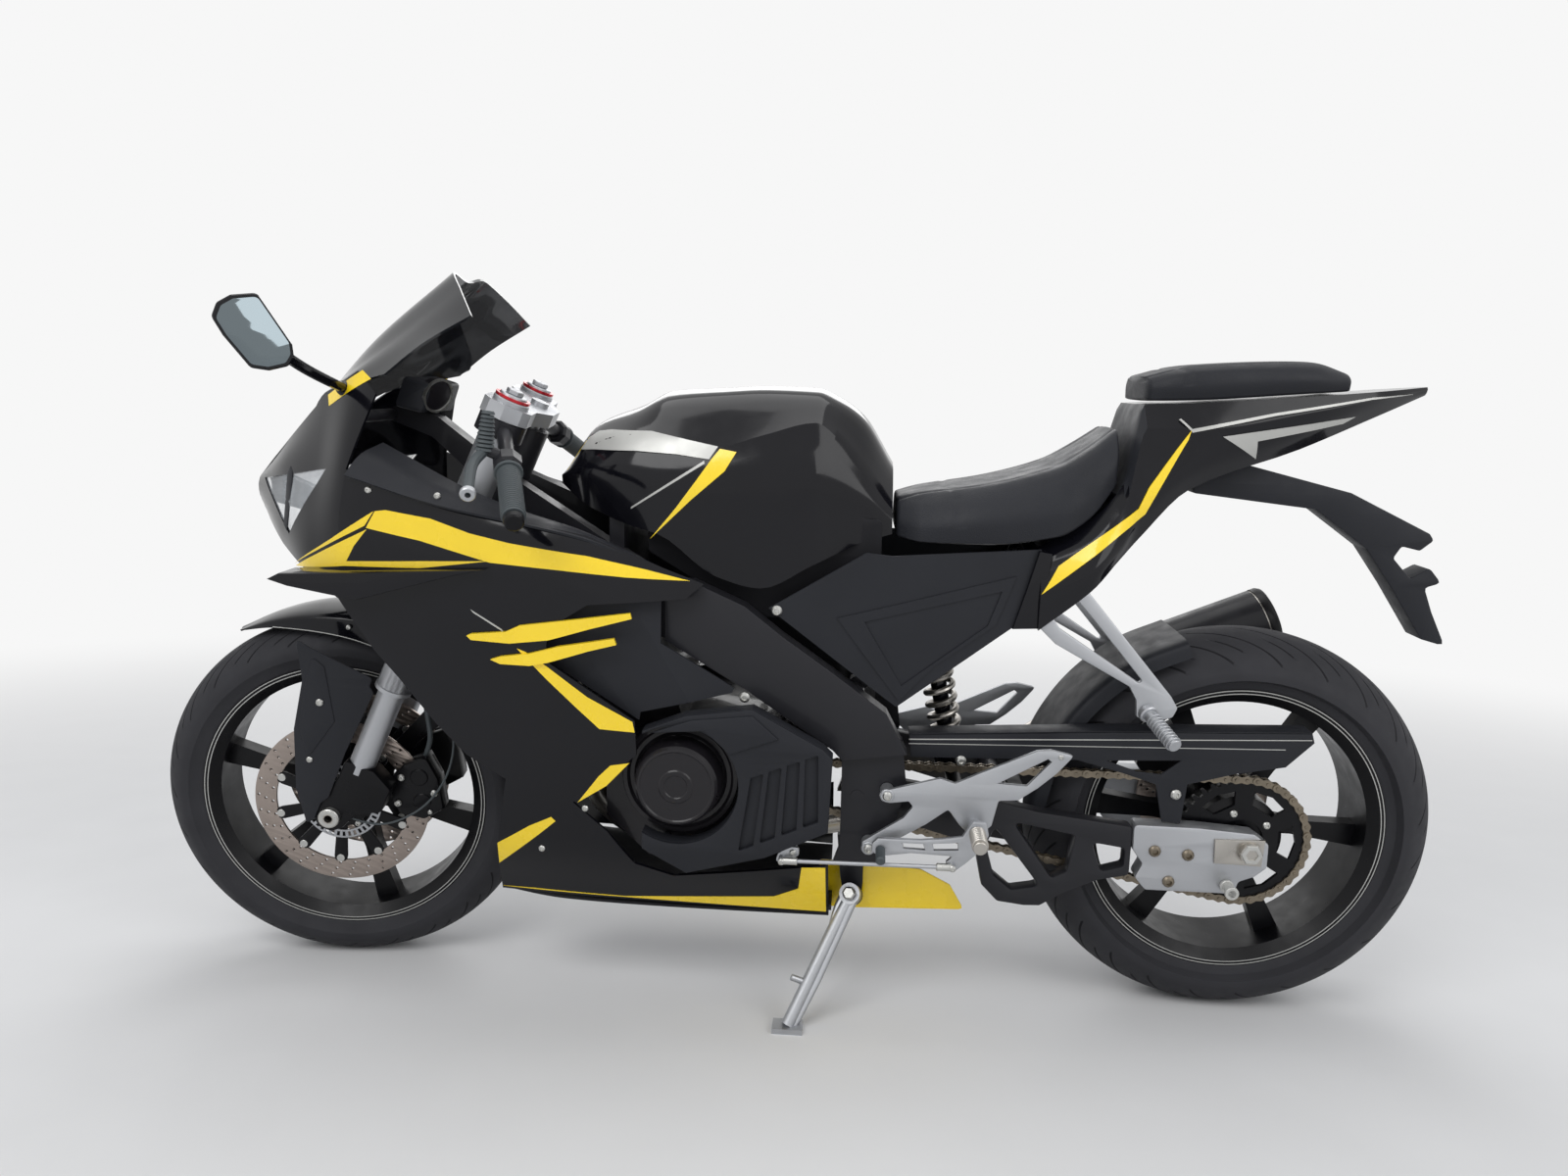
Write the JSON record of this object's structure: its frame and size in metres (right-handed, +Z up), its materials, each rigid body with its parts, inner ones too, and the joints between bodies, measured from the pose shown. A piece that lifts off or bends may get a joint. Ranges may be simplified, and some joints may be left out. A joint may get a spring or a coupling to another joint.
{
  "type": "sport motorcycle",
  "caption": "Fully faired sport motorcycle leaning on its side stand, with working steering, turning wheels and a folding side stand.",
  "frame": {"origin": "on the ground, under the middle of the part's bounding box", "axes": "+X forward, +Y to the rider's left (the side the bike leans to), +Z up"},
  "size_m": [2.0418, 0.7448, 1.1341],
  "materials": {
    "frame_black": "satin",
    "engine_grey": "satin",
    "silver": "satin",
    "steel": "brushed",
    "black_gloss": "gloss",
    "black_matte": "matte",
    "yellow": "gloss",
    "tyre": "matte",
    "rim_black": "gloss",
    "seat": "matte",
    "screen": "gloss",
    "lens": "gloss",
    "rubber": "matte",
    "chain_steel": "oiled"
  },
  "bodies": {
    "chassis": {"frame": "frame_black", "engine_block": "engine_grey", "engine_covers": "engine_grey", "engine_shrouds": "black_matte", "radiator": "engine_grey", "exhaust": "steel", "swingarm": "frame_black", "swingarm_ends": "silver", "rear_axle": "steel", "chain": "chain_steel", "rear_guards": "black_matte", "rear_shock": "yellow", "rear_caliper": "engine_grey", "nose_cowl": "black_gloss", "lamp_lenses": "lens", "side_fairings": "black_gloss", "vent_panels": "black_matte", "winglets": "black_gloss", "gill_blades": "yellow", "belly_pan": "black_gloss", "windscreen": "screen", "cockpit_panels": "black_matte", "mirrors": "black_gloss", "fuel_tank": "black_gloss", "rider_seat": "seat", "pillion_seat": "seat", "tail_cowl": "black_gloss", "side_panels": "black_matte", "plate_bracket": "black_matte", "rearsets": "silver", "passenger_hangers": "silver"},
    "steering": {"fork_tubes": "silver", "fork_legs": "rim_black", "fork_clamps": "silver", "front_axle": "steel", "front_fender": "black_gloss", "front_calipers": "silver", "hand_controls": "frame_black", "grips": "rubber", "brake_hoses": "rubber"},
    "front_wheel": {"front_tyre": "tyre", "front_rim": "rim_black", "front_discs": "steel"},
    "rear_wheel": {"rear_tyre": "tyre", "rear_rim": "rim_black", "rear_disc": "steel", "rear_sprocket": "steel"},
    "side_stand": {"side_stand": "silver"}
  },
  "joints": [
    {"name": "steering", "type": "hinge", "parent": "chassis", "child": "steering", "pos_m": [0.44714, -0.02241, 0.8108], "axis": [-0.4139, 0.0999, 0.9048], "range_deg": [-34.2, 19.8]},
    {"name": "front_wheel_spin", "type": "hinge", "parent": "steering", "child": "front_wheel", "pos_m": [0.72384, -0.07461, 0.29492], "axis": [-0.1142, 0.9804, -0.1604], "continuous": true},
    {"name": "rear_wheel_spin", "type": "hinge", "parent": "chassis", "child": "rear_wheel", "pos_m": [-0.70888, -0.07785, 0.30967], "axis": [-0.0001, 0.994, -0.1097], "continuous": true},
    {"name": "side_stand_fold", "type": "hinge", "parent": "chassis", "child": "side_stand", "pos_m": [-0.11998, 0.02748, 0.18789], "axis": [0.1383, 0.9047, 0.403], "range_deg": [0, 108]}
  ]
}
